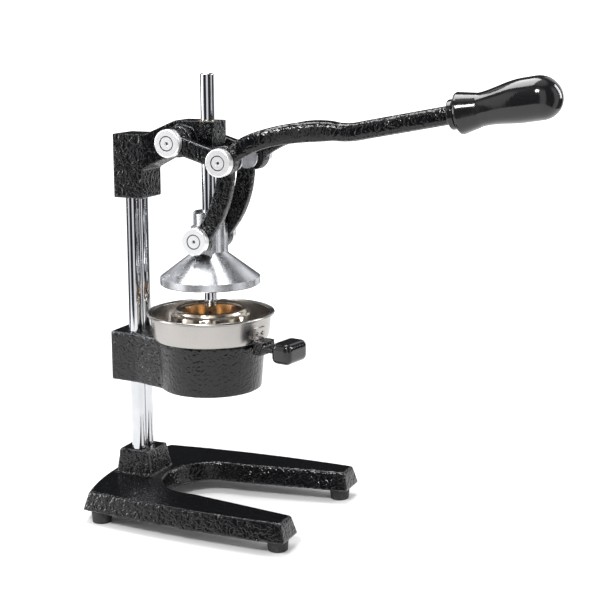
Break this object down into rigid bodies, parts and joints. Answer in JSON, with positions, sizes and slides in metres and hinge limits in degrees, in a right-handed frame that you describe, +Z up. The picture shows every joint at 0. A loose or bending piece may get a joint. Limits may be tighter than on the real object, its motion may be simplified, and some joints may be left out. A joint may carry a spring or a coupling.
{
  "type": "citrus press juicer",
  "caption": "Manual lever citrus press: cast base and columns, bowl and strainer in a holder, and a lever that drives a sliding bell presser through links.",
  "frame": {"origin": "the point on the counter straight below the press axis, where a glass stands", "axes": "+Z up along the press axis, +X forward to the user, along the lever, +Y to the press's own left"},
  "size_m": [0.467, 0.1936, 0.4448],
  "materials": {
    "black_casting": "hammertone enamel, semi-gloss",
    "chrome_steel": "bright chrome plate",
    "cap_steel": "turned and polished steel",
    "steel_small": "zinc plated",
    "black_steel": "black oxide",
    "cast_aluminium": "polished casting",
    "stainless": "polished stainless sheet",
    "black_plastic": "moulded, glossy",
    "black_rubber": "matt moulded rubber",
    "bronze": "plain bearing bronze"
  },
  "bodies": {
    "stand": {"base": "black_casting", "rubber_feet": "black_rubber", "foot_screws": "steel_small", "column_left": "chrome_steel", "column_right": "chrome_steel", "column_bolts": "steel_small", "column_washers": "steel_small", "bowl_holder": "black_casting", "holder_set_screws": "black_steel", "head": "black_casting", "head_set_screws": "black_steel", "rod_bush": "bronze", "fulcrum_pin": "steel_small", "fulcrum_washers": "black_steel", "fulcrum_caps": "cap_steel", "fulcrum_screws": "cap_steel"},
    "lever_body": {"lever": "black_casting", "lever_pins": "steel_small", "lever_pin_washers": "black_steel", "lever_pin_caps": "cap_steel", "lever_pin_screws": "cap_steel", "grip_collar": "black_plastic", "lever_grip": "black_plastic"},
    "presser_body": {"presser": "cast_aluminium", "guide_rod": "chrome_steel", "hub_set_screw": "black_steel", "hub_pins": "steel_small", "hub_pin_washers": "black_steel", "hub_pin_caps": "cap_steel", "hub_pin_screws": "cap_steel"},
    "left_link_body": {"link_left": "black_casting"},
    "right_link_body": {"link_right": "black_casting"},
    "bowl_body": {"juice_bowl": "stainless", "strainer": "stainless", "handle_tab": "stainless", "tab_rivets": "stainless", "handle_arm": "black_casting", "bowl_knob": "black_plastic", "knob_screw": "steel_small"}
  },
  "joints": [
    {"name": "lever_pivot", "type": "hinge", "parent": "stand", "child": "lever_body", "pos_m": [-0.02, 0, 0.3774], "axis": [0, 1, 0], "range_deg": [-30, 34]},
    {"name": "press_slide", "type": "slide", "parent": "stand", "child": "presser_body", "axis": [0, 0, -1], "range_m": [-0.0296, 0.0335]},
    {"name": "left_link_pivot", "type": "hinge", "parent": "presser_body", "child": "left_link_body", "pos_m": [0, 0.022, 0.2815], "axis": [0, 1, 0], "range_deg": [-7.4, 6.5]},
    {"name": "right_link_pivot", "type": "hinge", "parent": "presser_body", "child": "right_link_body", "pos_m": [0, -0.022, 0.2815], "axis": [0, 1, 0], "range_deg": [-7.4, 6.5]},
    {"name": "bowl_turn", "type": "hinge", "parent": "stand", "child": "bowl_body", "pos_m": [0, 0, 0.1813], "axis": [0, 0, 1], "range_deg": [-90, 90]}
  ],
  "couplings": [
    {"joint": "press_slide", "follows": "lever_pivot", "m_per_rad": 0.0562},
    {"joint": "left_link_pivot", "follows": "lever_pivot", "ratio": -0.2114},
    {"joint": "right_link_pivot", "follows": "lever_pivot", "ratio": -0.2114}
  ]
}
